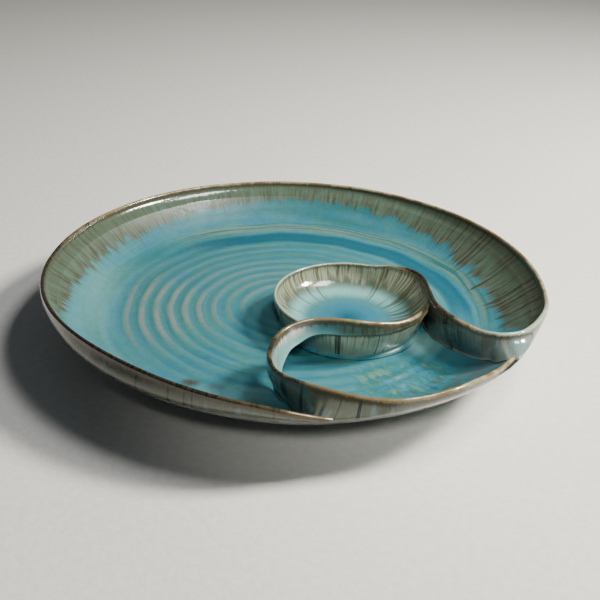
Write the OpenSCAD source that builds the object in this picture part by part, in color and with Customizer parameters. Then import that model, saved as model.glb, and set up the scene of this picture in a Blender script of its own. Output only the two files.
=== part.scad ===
// Chip and dip server: a thrown stoneware platter whose rim is cut at the front, swept inwards
// as two clay ribbons and joined to a small dip bowl that stands on the platter's floor.
// Origin: centre of the foot ring, on the table. +Z up, -Y is the open end of the spiral.

/* [Platter] */
// Outside diameter at the lip
platter_d = 320; // [260:5:360]
// Height of the lip above the table
platter_h = 44; // [42:1:50]
// Height of the floor's surface above the table
floor_z = 16; // [14:1:17]
// Height where the upper wall is joined to the dish
seam_z = 35; // [33:1:37]
// Spacing of the throwing rings
ring_pitch = 9.5; // [7:0.5:12]
// Depth of the throwing rings
ring_depth = 0.7; // [0.3:0.1:1]

/* [Wall] */
// Thickness of the rounded lip
lip_t = 4; // [3:0.5:5]
// Thickness of the floor
floor_t = 6.5; // [6:0.5:7]

/* [Foot ring] */
// Outside diameter of the foot ring
foot_d = 176; // [150:2:190]
// Width of the foot ring's flat
foot_w = 8; // [6:1:12]

/* [Dip bowl] */
// Outside diameter at the bowl's rim
bowl_d = 98; // [90:1:98]
// Outside diameter where the bowl meets the floor
bowl_base_d = 84; // [80:1:86]
// Height of the bowl's rim above the platter's floor
bowl_h = 20; // [16:1:22]

/* [Hidden] */

$fn = 96;
plan = platter_d / 320;          // the ribbons' plan grows and shrinks with the platter
floor_r = 112 * plan;            // where the flat floor turns up into the cove
lip_r = platter_d / 2 - lip_t / 2;
cove_in = 1.8;                   // how fast the cove steepens, inside and outside
cove_out = 2.0;
under_r = 104 * plan;            // where the underside turns up
under_z = floor_z - floor_t;
seam_out_r = platter_d / 2 - 4.8;
bowl_at = [35.5, -18] * plan;
bowl_z = floor_z + bowl_h;

clay = [0.35, 0.62, 0.68];
lip_clay = [0.45, 0.38, 0.24];
sage = [0.46, 0.53, 0.46];
biscuit = [0.72, 0.62, 0.50];

// Inner surface of the dish: flat floor, then a cove that steepens towards the lip.
function cove_z(r) = r <= floor_r ? floor_z
    : floor_z + (platter_h - floor_z) * pow((r - floor_r) / (lip_r - floor_r), cove_in);
function cove_r(z) = floor_r
    + (lip_r - floor_r) * pow((z - floor_z) / (platter_h - floor_z), 1 / cove_in);
seam_in_r = cove_r(seam_z);
// Top of the dish under the ribbons: the cove, cut level at the seam.
function dish_z(p) = min(seam_z, cove_z(norm([p.x, p.y])));
// Underside of the dish.
function under_side_z(r) = r <= under_r ? under_z
    : under_z + (seam_z - under_z) * pow((r - under_r) / (seam_out_r - under_r), cove_out);
function bowl_r(z) = bowl_base_d / 2
    + (bowl_d - bowl_base_d) / 2 * sin(90 * (z - floor_z) / bowl_h);

// ---------------------------------------------------------------- ribbons of clay
// A ribbon is a row of stations, walked with the outside of the platter on the right hand:
// [x, y, height of the lip, inner foot, outer foot, underside].
// The feet are measured outwards from the lip's centre line, and the underside is the height
// of the foot above the dish, so 0 stands on the dish and more bridges over it. An outer foot
// never goes past the dish's outer edge, so a row on the rim just asks for more than enough.
past_edge = 9;

// From the dip bowl's rim, round the bowl and out to the platter's own rim.
strap_rows = [
    [59, 20.5, 38.5, -2, 2, bowl_h],
    [68, 21.5, 38.8, -2, 3, 14],
    [77, 16.5, 39.5, -3, 10, 4],
    [83, 5, 40.5, -3.5, 6, 0],
    [85, -13, 41, -4.5, 2, 0],
    [86.5, -30, 41.5, -6.5, -0.5, 0],
    [91, -42.5, 42, -10, -4, 0],
    [98.5, -55, 42.5, -13, -7, 0],
    [109, -66, 43, -14, -6, 0],
    [117, -69.6, 43.4, -14, 1, 0],
    [122, -70.6, 43.6, -14, 15, 0],
    [132.5, -68, 44, -12, 2 * past_edge, 0],
    [142.5, -57.5, 44, -10, past_edge, 0],
    [150.5, -44, 44, -9.5, past_edge, 0],
];
// From the bowl's rim along its front, then off the bowl and down towards the floor.
bridge_rows = [
    [81.5, -34, 39.6, -2, 2, bowl_h],
    [74, -47.5, 40, -2, 2, bowl_h],
    [62, -58, 41, -2, 2, bowl_h],
    [47, -65, 44, -2, 2, bowl_h],
    [30, -66.5, 46, -2, 2, bowl_h],
    [15, -67, 46, -2.5, 2, bowl_h],
    [3.5, -72.5, 46, -3.5, 2, 18],
    [-5.5, -82, 45.5, -4.5, 1.5, 14],
];
// From the curl round the front to its end against the strap.
front_rows = [
    [-10.5, -95, 44.5, -6, 0, 5],
    [-11, -110, 44, -13, -7, 0],
    [-5.5, -123, 44, -17, -11, 0],
    [7, -131.5, 44, -16, 1, 0],
    [24, -138.5, 44, -13, 2 * past_edge, 0],
    [40, -143, 44, -11, past_edge, 0],
    [56, -143.5, 44, -10, past_edge, 0],
    [72, -138.5, 44, -10, past_edge, 0],
    [88, -129.5, 44, -9, past_edge, 0],
    [100, -118.5, 42.5, -9, past_edge, 0],
    [108, -109.5, 40.5, -9, past_edge, 0],
    [114.5, -101, 38.8, -9, past_edge, 0],
    [119.5, -94, 37.4, -9, past_edge, 0],
    [124, -87.5, 36.4, -8, past_edge, 0],
    [127, -83, 36, -8, 2, 0],
];
// The platter's own rim, counter-clockwise from the strap to the front, where its tail runs down
// to the seam. It is hand-made: on the front left it is pushed in and stands a little higher.
rim_start = 348;
rim_end = 640;
rim_step = 4;
tail = 16;
tail_drop = 8;
tail_in = 3.5;
dent_at = 593;
dent_half = 50;
dent_in = 5.5;
dent_up = 4;
function dent(a) = abs(a - dent_at) > dent_half ? 0 : (1 + cos(180 * (a - dent_at) / dent_half)) / 2;
function rim_row(a) = let (
        t = max(0, (a - rim_end + tail) / tail),
        r = lip_r / plan - dent_in * dent(a) - tail_in * t * t)
    [r * cos(a), r * sin(a), 44 + dent_up * dent(a) - tail_drop * pow(t, 1.5),
     seam_in_r - r * plan, past_edge, 0];
rim_rows = [for (a = [rim_start : rim_step : rim_end]) rim_row(a)];

// A smooth curve through the rows, and the row at step k of n between rows i and i + 1.
function catmull(a, b, c, d, t) = 0.5 * (2 * b + (c - a) * t + (2 * a - 5 * b + 4 * c - d) * t * t
    + (3 * b - 3 * c + d - a) * t * t * t);
function smooth_rows(rows, n, before, after) = let (last = len(rows) - 1) [
    for (i = [0 : last - 1], k = [0 : n - 1])
        catmull(i == 0 ? before : rows[i - 1], rows[i], rows[i + 1],
                i == last - 1 ? after : rows[i + 2], k / n),
    rows[last]];
// The row past an end, where nothing follows on.
function beyond(a, b) = 2 * a - b;

// One cross-section: up the inner face, over the rounded lip and down the outer face.
face_steps = [0, 0.35, 0.7];
lip_angles = [180, 140, 90, 40, 0];
least_face = 0.3;
function leaned(foot, lip, t) = foot + (lip - foot) * pow(t, 0.8);
function to_edge(p, out) = sqrt(pow(seam_out_r, 2) - p * p + pow(p * out, 2)) - p * out;
function section(row, out) = let (
        lip = [row.x, row.y] * plan,
        outer = min(row[4], to_edge(lip, out)),
        in_foot = lip + out * row[3],
        out_foot = lip + out * outer,
        in_z = dish_z(in_foot) + row[5],
        out_z = dish_z(out_foot) + row[5],
        top = max(row[2] - 44 + platter_h - lip_t / 2, max(in_z, out_z) + least_face))
    concat(
        [for (t = face_steps) let (p = lip + out * leaned(row[3], -lip_t / 2, t))
            [p.x, p.y, in_z + (top - in_z) * t]],
        [for (a = lip_angles) let (p = lip + out * cos(a) * lip_t / 2)
            [p.x, p.y, top + sin(a) * lip_t / 2]],
        [for (i = [len(face_steps) - 1 : -1 : 0]) let (
                t = face_steps[i],
                p = lip + out * leaned(outer, lip_t / 2, t))
            [p.x, p.y, out_z + (top - out_z) * t]]);

// The solid swept along a row of stations, from the station before to the station after.
module ribbon(rows, before, after) {
    last = len(rows) - 1;
    path = concat([before], rows, [after]);
    sections = [for (i = [1 : last + 1]) let (
            along = [path[i + 1].x - path[i - 1].x, path[i + 1].y - path[i - 1].y],
            out = [along.y, -along.x] / norm(along))
        section(path[i], out)];
    count = len(sections[0]);
    sides = [for (i = [0 : last - 1], j = [0 : count - 1])
        let (a = i * count + j, b = i * count + (j + 1) % count)
        each [[a, b + count, b], [a, a + count, b + count]]];
    start_cap = [for (j = [0 : count - 1]) j];
    end_cap = [for (j = [count - 1 : -1 : 0]) last * count + j];
    polyhedron(points = [for (s = sections) each s], faces = concat(sides, [start_cap, end_cap]),
               convexity = 8);
}

// ---------------------------------------------------------------- thrown pieces
// Slab floor with throwing rings cut into its face.
module platter_floor() {
    rings = floor(floor_r / ring_pitch);
    profile = [
        [0, under_z],
        [under_r, under_z],
        [floor_r, under_side_z(floor_r)],
        [floor_r, floor_z],
        for (i = [rings : -1 : 1]) each [
            [i * ring_pitch + 1.5, floor_z],
            [i * ring_pitch, floor_z - ring_depth],
            [i * ring_pitch - 2.5, floor_z]],
        [0, floor_z]];
    color(clay) rotate_extrude() polygon(profile);
}

// Cove between the flat floor and the seam, the same all the way round.
module platter_cove() {
    steps = 6;
    inside = [for (i = [0 : steps]) let (z = floor_z + (seam_z - floor_z) * i / steps)
        [cove_r(z), z]];
    outside = [for (i = [steps : -1 : 0]) let (r = floor_r + (seam_out_r - floor_r) * i / steps)
        [r, under_side_z(r)]];
    color(clay) rotate_extrude() polygon(concat(inside, outside));
}

// Unglazed ring that the platter stands on.
module foot_ring() {
    color(biscuit) rotate_extrude() polygon([
        [foot_d / 2 - foot_w, 1], [foot_d / 2 - foot_w + 1, 0], [foot_d / 2 - 1.5, 0],
        [foot_d / 2, 1.5], [foot_d / 2 + 1, under_z], [foot_d / 2 - foot_w - 1.5, under_z]]);
}

module rim_wall() {
    color(lip_clay) difference() {
        ribbon(rim_rows, rim_row(rim_start - rim_step), rim_row(rim_end + rim_step));
        front_ribbon();
    }
}

module front_ribbon() {
    start = bridge_rows[len(bridge_rows) - 1];
    end = beyond(front_rows[len(front_rows) - 1], front_rows[len(front_rows) - 2]);
    ribbon(smooth_rows(front_rows, 4, start, end), start, end);
}

module front_wall() {
    color(sage) difference() {
        front_ribbon();
        strap_ribbon();
    }
}

module bridge_strap() {
    rows = smooth_rows(concat(bridge_rows, [front_rows[0]]), 4,
                       beyond(bridge_rows[0], bridge_rows[1]), front_rows[1]);
    color(sage) ribbon(rows, beyond(rows[0], rows[1]), front_rows[1]);
}

module strap_ribbon() {
    rows = smooth_rows(concat(strap_rows, [rim_rows[0]]), 4,
                       beyond(strap_rows[0], strap_rows[1]), rim_rows[1]);
    ribbon(rows, beyond(rows[0], rows[1]), rim_rows[1]);
}

module bowl_strap() {
    color(sage) difference() {
        strap_ribbon();
        translate(bowl_at) bowl_envelope();
        bowl_seat_coil();
    }
}

// The bowl's outer shape, filled in.
bowl_steps = 6;
bowl_side = [for (i = [0 : bowl_steps]) let (z = floor_z + bowl_h * i / bowl_steps)
    [bowl_r(z), z]];
module bowl_envelope() {
    rotate_extrude() polygon(concat([[0, floor_z]], bowl_side, [[0, bowl_z]]));
}

// Dip bowl with a flat rim that the straps are joined to.
module dip_bowl() {
    wall = 4;
    bottom = 4;
    flat_r = 26 * plan;
    reach = bowl_d / 2 - wall - flat_r;
    depth = bowl_h - bottom;
    hollow = [for (a = [0 : 15 : 90]) [flat_r + reach * cos(a), bowl_z - depth * sin(a)]];
    color(sage) translate(bowl_at) rotate_extrude()
        polygon(concat([[0, floor_z]], bowl_side, hollow, [[0, bowl_z - depth]]));
}

// Coil of clay smoothed into the corner between the bowl and the floor.
module bowl_seat_coil() {
    top = 4;
    reach = 4.5;
    color(clay) translate(bowl_at) rotate_extrude() polygon([
        [bowl_r(floor_z), floor_z], [bowl_r(floor_z) + reach, floor_z],
        [bowl_r(floor_z) + reach * 0.75, floor_z + top * 0.35],
        [bowl_r(floor_z + top), floor_z + top], [bowl_r(floor_z + top / 2), floor_z + top / 2]]);
}

platter_floor();
platter_cove();
foot_ring();
rim_wall();
front_wall();
bowl_strap();
bridge_strap();
dip_bowl();
bowl_seat_coil();
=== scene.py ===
"""Looks of the glazed chip and dip server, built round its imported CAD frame."""

import math
from collections import Counter

import bpy
import numpy as np
from mathutils import Matrix, Vector, noise


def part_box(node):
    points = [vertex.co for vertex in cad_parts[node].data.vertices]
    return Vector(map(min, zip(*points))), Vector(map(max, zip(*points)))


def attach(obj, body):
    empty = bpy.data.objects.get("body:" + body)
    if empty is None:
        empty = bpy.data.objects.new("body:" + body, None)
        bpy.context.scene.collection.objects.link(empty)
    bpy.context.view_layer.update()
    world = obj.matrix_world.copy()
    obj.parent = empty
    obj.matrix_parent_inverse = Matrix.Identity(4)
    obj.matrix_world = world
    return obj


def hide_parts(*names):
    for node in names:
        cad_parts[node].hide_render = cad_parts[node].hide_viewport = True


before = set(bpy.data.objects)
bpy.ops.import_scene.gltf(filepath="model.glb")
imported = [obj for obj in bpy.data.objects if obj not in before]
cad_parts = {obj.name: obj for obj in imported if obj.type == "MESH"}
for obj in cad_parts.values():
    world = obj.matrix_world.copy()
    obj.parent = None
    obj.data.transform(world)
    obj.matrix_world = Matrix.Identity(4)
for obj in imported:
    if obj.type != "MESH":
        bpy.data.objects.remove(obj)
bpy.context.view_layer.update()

MM = 0.001


def box_mm(node):
    """Lowest and highest corner of a CAD node, in millimetres."""
    low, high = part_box(node)
    return np.array(low) / MM, np.array(high) / MM


# ---- sizes, all in millimetres
floor_high = box_mm("platter_floor")[1]
cove_high = box_mm("platter_cove")[1]
foot_high = box_mm("foot_ring")[1]
coil_high = box_mm("bowl_seat_coil")[1]
rim_low = box_mm("rim_wall")[0]
bowl_low, bowl_high = box_mm("dip_bowl")

FLOOR_Z = floor_high[2]
UNDER_Z = foot_high[2]
FLOOR_R = floor_high[0]
SEAM_Z = cove_high[2]
SEAM_OUT_R = cove_high[0]
LIP_T = 3.4
LIP_R = -rim_low[0] - LIP_T / 2
LIP_Z = 44.0
UNDER_R = 104.0

# The dish: the powers of its inner and outer curves, and its throwing rings.
COVE_IN = 1.8
COVE_OUT = 2.0
RING_PITCH = 9.5
RING_DEPTH = 0.5
COVE_RING_DEPTH = 0.12

BOWL_AT = (bowl_low[:2] + bowl_high[:2]) / 2
BOWL_R = (bowl_high[0] - bowl_low[0]) / 2
BOWL_BASE_R = 42.0
BOWL_Z = bowl_high[2]
BOWL_WALL = 3.0
BOWL_LIP_H = 2.0
BOWL_FLAT_R = 24.0
BOWL_BOTTOM = FLOOR_Z + 4.2
BOWL_UNDER = FLOOR_Z - 0.5

# Rows of the clay ribbons, walked with the outside of the platter on the right: x, y, height of
# the lip, inner foot, outer foot, height of the foot above the dish. They follow the CAD walls,
# with the feet drawn in a little where the lip turns sharply.
# An outer foot as far out as EDGE stops at the seam, where the dish ends.
EDGE = 9
STRAP_ROWS = [
    [61, 22.6, 38.2, -0.5, 0.5, 20],
    [68, 21.5, 38.8, -1.5, 2, 15],
    [77, 16.5, 39.5, -3, 10, 4],
    [83, 5, 40.5, -3.5, 6, 0],
    [85, -13, 41, -4.5, 2, 0],
    [86.5, -30, 41.5, -6.5, -0.5, 0],
    [91, -42.5, 42, -10, -4, 0],
    [98.5, -55, 42.5, -12, -7, 0],
    [109, -66, 43, -11, -5, 0],
    [117, -69.6, 43.4, -10, 1, 0],
    [122, -70.6, 43.6, -9, 15, 0],
    [132.5, -68, 44, -9, 2 * EDGE, 0],
    [142.5, -57.5, 44, -10, EDGE, 0],
    [150.5, -44, 44, -9.5, EDGE, 0],
]
BRIDGE_ROWS = [
    [81.5, -34, 39.6, -2, 2, 20],
    [74, -47.5, 40, -2, 2, 20],
    [62, -58, 41, -2, 2, 20],
    [47, -65, 44, -2, 2, 20],
    [30, -66.5, 46, -2, 2, 20],
    [15, -67, 46, -2.5, 2, 20],
    [3.5, -72.5, 46, -3.5, 2, 18],
    [-5.5, -82, 45.5, -4.5, 1.5, 14],
]
FRONT_ROWS = [
    [-10.5, -95, 44.5, -6, 0, 5],
    [-11, -110, 44, -12, -7, 0],
    [-5.5, -123, 44, -14, -9.5, 0],
    [7, -131.5, 44, -13, 1, 0],
    [24, -138.5, 44, -13, 2 * EDGE, 0],
    [40, -143, 44, -11, EDGE, 0],
    [56, -143.5, 44, -10, EDGE, 0],
    [72, -138.5, 44, -10, EDGE, 0],
    [88, -129.5, 44, -9, EDGE, 0],
    [100, -118.5, 42.5, -9, EDGE, 0],
    [108, -109.5, 40.5, -9, EDGE, 0],
    [114.5, -101, 38.8, -9, EDGE, 0],
    [119.5, -94, 37.4, -9, EDGE, 0],
    [124, -87.5, 37, -8, EDGE, 0],
    [128, -81.5, 36.8, -8, EDGE, 0],
    [133, -73.5, 36.6, -8, EDGE, 0],
]

# The rim's own wall, by angle: its tail runs in and down to the seam, its dent in and up.
RIM_START, RIM_END = 348.0, 640.0
RIM_STEP = 4
TAIL_LONG, TAIL_IN, TAIL_DOWN = 16.0, 3.5, 8.0
DENT_AT, DENT_HALF, DENT_IN, DENT_UP = 593.0, 50.0, 5.5, 4.0


# ---- the dish's surfaces
def smoothstep(low, high, value):
    t = np.clip((value - low) / (high - low), 0, 1)
    return t * t * (3 - 2 * t)


def cove_z(r):
    """Height of the dish's inner surface, without its throwing rings."""
    rise = (LIP_Z - FLOOR_Z) * (np.maximum(r - FLOOR_R, 0) / (LIP_R - FLOOR_R)) ** COVE_IN
    return FLOOR_Z + rise


def inner_z(r):
    """Height of the dish's inner surface: soft throwing rings on the floor, fainter in the cove."""
    ring = 0.5 + 0.5 * np.cos(2 * np.pi * r / RING_PITCH)
    floor_rings = RING_DEPTH * smoothstep(8, 20, r) * (1 - smoothstep(100, FLOOR_R, r))
    cove_rings = (COVE_RING_DEPTH * smoothstep(FLOOR_R - 4, FLOOR_R + 6, r)
                  * (1 - smoothstep(134, 144, r)))
    return cove_z(r) - (floor_rings + cove_rings) * ring


def outer_z(r):
    """Height of the dish's underside."""
    lift = (SEAM_Z - UNDER_Z) * (np.maximum(r - UNDER_R, 0) / (SEAM_OUT_R - UNDER_R)) ** COVE_OUT
    return UNDER_Z + lift


SEAM_IN_R = FLOOR_R + (LIP_R - FLOOR_R) * ((SEAM_Z - FLOOR_Z) / (LIP_Z - FLOOR_Z)) ** (1 / COVE_IN)


def radius(points):
    return np.hypot(points[..., 0], points[..., 1])


# ---- mesh helpers
SWAY, SWAY_MOST = 0.28, 0.6
SWAY_BROAD, SWAY_FINE, SWAY_FINE_SHARE = 34, 11, 0.35


def hand_made(points):
    """How far a surface point lies under the true shape: the soft waviness of thrown clay."""
    flat = points.reshape(-1, 3)
    sway = np.array([noise.noise(Vector(p / SWAY_BROAD))
                     + SWAY_FINE_SHARE * noise.noise(Vector(p / SWAY_FINE)) for p in flat])
    return (SWAY * (sway - 1)).clip(-SWAY_MOST, 0).reshape(points.shape[:-1])


def grid_normals(grid, wrap):
    """Normals of a grid of points; wrap closes its rows into a ring."""
    if wrap:
        padded = np.concatenate([grid[-1:], grid, grid[:1]])
        along = (padded[2:] - padded[:-2]) / 2
    else:
        along = np.gradient(grid, axis=0)
    across = np.gradient(grid, axis=1)
    normal = np.cross(across, along)
    size = np.linalg.norm(normal, axis=-1, keepdims=True)
    return normal / np.maximum(size, 1e-9)


class Skin:
    """Grids of points, welded into one mesh that keeps each grid's own normals.

    Corners that weld together drop out, and so do two faces left back to back.
    """

    def __init__(self):
        self.points, self.normals, self.faces = [], [], []
        self.lips, self.tones = [], []
        self.count = 0

    def grid(self, points, normals, lips, tones, wrap=False, flip=False):
        rows, cols = points.shape[:2]
        index = np.arange(rows * cols).reshape(rows, cols) + self.count
        if wrap:
            index = np.concatenate([index, index[:1]])
        quads = np.stack([index[:-1, :-1], index[:-1, 1:], index[1:, 1:], index[1:, :-1]], -1)
        quads = quads.reshape(-1, 4)
        if flip:
            quads = quads[:, ::-1]
        self.add(points, normals * (-1 if flip else 1), lips, tones, quads)

    def add(self, points, normals, lips, tones, faces):
        self.points.append(points.reshape(-1, 3))
        self.normals.append(normals.reshape(-1, 3))
        self.lips.append(lips.reshape(-1, 3))
        self.tones.append(tones.reshape(-1, 4))
        self.faces += [tuple(face) for face in np.asarray(faces).tolist()]
        self.count += self.points[-1].shape[0]

    def cap(self, ring, normal, lips, tones, flip=False):
        """Closes a cut end with one flat fan round the ring's middle."""
        points = np.vstack([ring, ring.mean(0)])
        count = len(ring)
        fan = [(i, (i + 1) % count, count) for i in range(count)]
        if flip:
            fan = [face[::-1] for face in fan]
        fan = np.array(fan) + self.count
        normals = np.repeat(np.asarray(normal, float)[None], count + 1, 0)
        self.add(points, normals, np.vstack([lips, lips[:1]]), np.vstack([tones, tones[:1]]), fan)

    def build(self, node, material):
        """The piece that stands for a CAD node."""
        name = node + "_clay"
        points, normals, lips, tones = map(np.concatenate,
                                           (self.points, self.normals, self.lips, self.tones))
        _, first, weld = np.unique(np.round(points, 3), axis=0, return_index=True,
                                   return_inverse=True)
        weld = weld.reshape(-1)
        kept = [[i for k, i in enumerate(face) if weld[i] != weld[face[k - 1]]]
                for face in self.faces]
        rings = [(frozenset(weld[i] for i in face), face) for face in kept if len(face) >= 3]
        uses = Counter(ring for ring, _ in rings)
        kept = [face for ring, face in rings if uses[ring] == 1]
        faces = [[int(weld[i]) for i in face] for face in kept]
        corners = [i for face in kept for i in face]
        mesh = bpy.data.meshes.new(name)
        mesh.from_pydata((points[first] * MM).tolist(), [], faces)
        mesh.polygons.foreach_set("use_smooth", [True] * len(faces))
        lip = mesh.attributes.new("lip", "FLOAT_VECTOR", "CORNER")
        lip.data.foreach_set("vector", lips[corners].astype(np.float32).ravel())
        tone = mesh.attributes.new("tone", "FLOAT_COLOR", "CORNER")
        tone.data.foreach_set("color", tones[corners].astype(np.float32).ravel())
        mesh.normals_split_custom_set(normals[corners].tolist())
        mesh.materials.append(material)
        piece = bpy.data.objects.new(name, mesh)
        bpy.context.scene.collection.objects.link(piece)
        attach(piece, "root")
        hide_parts(node)


# ---- clay ribbons
STATION_GAP = 1.3
CURVE_STEPS = 12


def resampled(rows, before, after):
    """Rows on a smooth curve through the given ones, evenly spaced along the ribbon."""
    path = np.array([before, *rows, after], float)
    a, b, c, d = path[:-3], path[1:-2], path[2:-1], path[3:]
    t = np.linspace(0, 1, CURVE_STEPS, endpoint=False)[:, None, None]
    curve = 0.5 * (2 * b + (c - a) * t + (2 * a - 5 * b + 4 * c - d) * t ** 2
                   + (3 * b - 3 * c + d - a) * t ** 3)
    curve = np.vstack([curve.transpose(1, 0, 2).reshape(-1, path.shape[1]), path[-2]])
    gone = np.r_[0, np.cumsum(np.hypot(*np.diff(curve[:, :2], axis=0).T))]
    even = np.linspace(0, gone[-1], max(2, int(gone[-1] / STATION_GAP)))
    return np.stack([np.interp(even, gone, column) for column in curve.T], -1)


def bezier(start, start_pull, end_pull, end, t):
    return (start * (1 - t) ** 3 + 3 * start_pull * (1 - t) ** 2 * t
            + 3 * end_pull * (1 - t) * t ** 2 + end * t ** 3)


# A cross-section: its points along each face, over the lip and under it, and the lip's taper.
FACE_T = np.linspace(0, 1, 13)
LIP_ANGLES = np.radians(np.linspace(165, 15, 9))
BOTTOM_T = np.linspace(0, 1, 5)[1:-1]
CREST = 1 + len(FACE_T) + len(LIP_ANGLES) // 2
TAPERED_TO = 0.2
LEAST_FACE = 0.3

# A standing foot runs on under the dish's skin; a bridge has a bevelled, nearly flat bottom.
FOOT_SUNK, FOOT_RUN, SAG = 0.4, 1.2, 1.6
BRIDGE_BEVEL_IN, BRIDGE_BEVEL_DOWN, BRIDGE_SAG = 0.3, 0.6, 0.5

# How a face's curve is pulled at its foot and under its lip, as shares of its reach.
FOOT_PULL, SOFT_FOOT_PULL, LIP_PULL = 0.22, 0.2, 0.38
UNDER_LIP_WAY = np.array([0.22, 0.97])


class Ribbon:
    """A wall of clay swept along rows, with feet that run out into the dish.

    A taper thins that many stations at an end. A section's points run from the inner foot over
    the lip to the outer foot and back along the bottom.
    """

    def __init__(self, rows, tones, start_taper, end_taper):
        self.rows = rows
        count = np.arange(len(rows))
        self.half = np.full(len(rows), LIP_T / 2)
        for taper, station in (start_taper, count), (end_taper, count[::-1]):
            self.half *= TAPERED_TO + (1 - TAPERED_TO) * smoothstep(0, taper, station)
        way = np.gradient(rows[:, :2], axis=0)
        way /= np.linalg.norm(way, axis=1, keepdims=True)
        self.out = np.stack([way[:, 1], -way[:, 0]], -1)
        self.way = way
        across, height = self.sections()
        flat = rows[:, None, :2] + self.out[:, None] * across[..., None]
        points = np.concatenate([flat, height[..., None]], -1)
        normals = grid_normals(points, False)
        sway = hand_made(points)
        sway[:, self.last + 1:] *= self.bridging[:, None]
        points = points + normals * sway[..., None]
        self.normals = grid_normals(points, False)
        sunk = FOOT_SUNK * (1 - self.bridging)
        points[:, 0, 2] -= sunk
        points[:, self.last, 2] -= sunk * (1 - self.at_edge)
        self.points = points
        steps = np.linalg.norm(np.diff(points, axis=1), axis=-1)
        down = np.concatenate([np.zeros((len(rows), 1)), np.cumsum(steps, axis=1)], 1)
        down = down - down[:, CREST:CREST + 1]
        lip = np.broadcast_to(rows[:, None, :2], (*down.shape, 2))
        self.lips = np.concatenate([lip, down[..., None]], -1)
        self.tones = np.broadcast_to(tones[:, None], (*down.shape, 4)).copy()

    def sections(self):
        """Offset from the lip and height of every point of every cross-section."""
        rows, out = self.rows, self.out
        lip = rows[:, :2]
        half = self.half
        top = rows[:, 2] - half
        shut = self.bridging = smoothstep(0, 4, rows[:, 5])
        away = (lip * out).sum(1)
        to_edge = np.sqrt(np.maximum(SEAM_OUT_R ** 2 - (lip ** 2).sum(1) + away ** 2, 0)) - away
        foot_in, foot_out = rows[:, 3], np.minimum(rows[:, 4], to_edge)
        at_edge = self.at_edge = smoothstep(3, 0, to_edge - foot_out)

        def surface(offset, free=False):
            r = radius(lip + out * offset[:, None])
            return inner_z(r) if free else np.minimum(inner_z(r), SEAM_Z)

        z_in = surface(foot_in) + rows[:, 5]
        z_out = surface(foot_out) + rows[:, 5]
        slope_in = surface(foot_in + 0.5, True) - surface(foot_in - 0.5, True)
        along_dish = np.stack([np.ones_like(slope_in), slope_in], -1)
        along_edge = np.broadcast_to([-1.0, 1.0], along_dish.shape)
        top = np.maximum(top, np.maximum(z_in, z_out) + LEAST_FACE)
        # A wall that leans out over its foot keeps a straight inner face, clear of its outer one.
        upright = smoothstep(-6, 2, foot_out)
        round_in = self.face(foot_in, z_in, along_dish, -half, top,
                             (0.1 + 0.9 * upright) * (1 - shut))
        round_out = self.face(-foot_out, z_out, along_edge, -half, top, at_edge * (1 - shut))
        arc = half[:, None] * np.cos(LIP_ANGLES)[None]
        arc_z = top[:, None] + half[:, None] * np.sin(LIP_ANGLES)[None]
        bevel_in, bevel_down = BRIDGE_BEVEL_IN * shut, BRIDGE_BEVEL_DOWN * shut
        beyond_in = foot_in - FOOT_RUN * (1 - shut) + bevel_in
        beyond_out = foot_out + FOOT_RUN * (1 - 2 * at_edge) * (1 - shut) - bevel_in
        edge_z = outer_z(radius(lip + out * beyond_out[:, None]))
        beyond_in_z = np.where(shut > 0, z_in - bevel_down, surface(beyond_in, True))
        lands_z = surface(beyond_out) * (1 - at_edge) + edge_z * at_edge
        beyond_out_z = np.where(shut > 0, z_out - bevel_down, lands_z)
        bottom = beyond_out[:, None] + (beyond_in - beyond_out)[:, None] * BOTTOM_T
        sag = np.sin(np.pi * BOTTOM_T)[None] * (BRIDGE_SAG * shut + SAG * (1 - shut))[:, None]
        bottom_z = beyond_out_z[:, None] + (beyond_in_z - beyond_out_z)[:, None] * BOTTOM_T - sag
        across = np.column_stack([beyond_in, round_in[0], arc, -round_out[0][:, ::-1],
                                  beyond_out, bottom])
        height = np.column_stack([beyond_in_z, round_in[1], arc_z, round_out[1][:, ::-1],
                                  beyond_out_z, bottom_z])
        self.last = across.shape[1] - len(BOTTOM_T) - 1
        return across, height

    def face(self, foot, foot_z, flat, lip, top, tangent):
        """One face from its foot to the lip; tangent 1 lands softly on the dish, 0 in a crease."""
        reach = np.hypot(lip - foot, top - foot_z)
        flat = flat / np.linalg.norm(flat, axis=-1, keepdims=True)
        chord = np.stack([lip - foot, top - foot_z], -1) / reach[:, None]
        chord = chord * 0.85 + np.array([0.15, 0.0])
        start = flat * tangent[:, None] + chord * (1 - tangent[:, None])
        p0 = np.stack([foot, foot_z], -1)
        p3 = np.stack([lip, top], -1)
        p1 = p0 + start * (reach * (FOOT_PULL + SOFT_FOOT_PULL * tangent))[:, None]
        p2 = p3 - UNDER_LIP_WAY * (reach * LIP_PULL)[:, None]
        t = FACE_T[None, :, None]
        curve = bezier(p0[:, None], p1[:, None], p2[:, None], p3[:, None], t)
        return curve[..., 0], curve[..., 1]

    def piece(self, node, first, last, material, slot):
        """The stretch of the ribbon from station first to last, as one closed piece."""
        skin = Skin()
        cut = slice(first, last + 1)
        points, normals = self.points[cut], self.normals[cut]
        lips, tones = self.lips[cut], self.tones[cut]

        def closed(grid):
            return np.concatenate([grid, grid[:, :1]], 1)

        skin.grid(closed(points), closed(normals), closed(lips), closed(tones))
        start, end = self.way[first], self.way[last]
        skin.cap(points[0], [-start[0], -start[1], 0], lips[0], tones[0], flip=True)
        skin.cap(points[-1], [end[0], end[1], 0], lips[-1], tones[-1])
        skin.build(node, material)


def dent(angle):
    """Share of the dent's full depth, 0 outside it."""
    inside = np.abs(angle - DENT_AT) < DENT_HALF
    return np.where(inside, 0.5 + 0.5 * np.cos(np.pi * (angle - DENT_AT) / DENT_HALF), 0)


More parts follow.
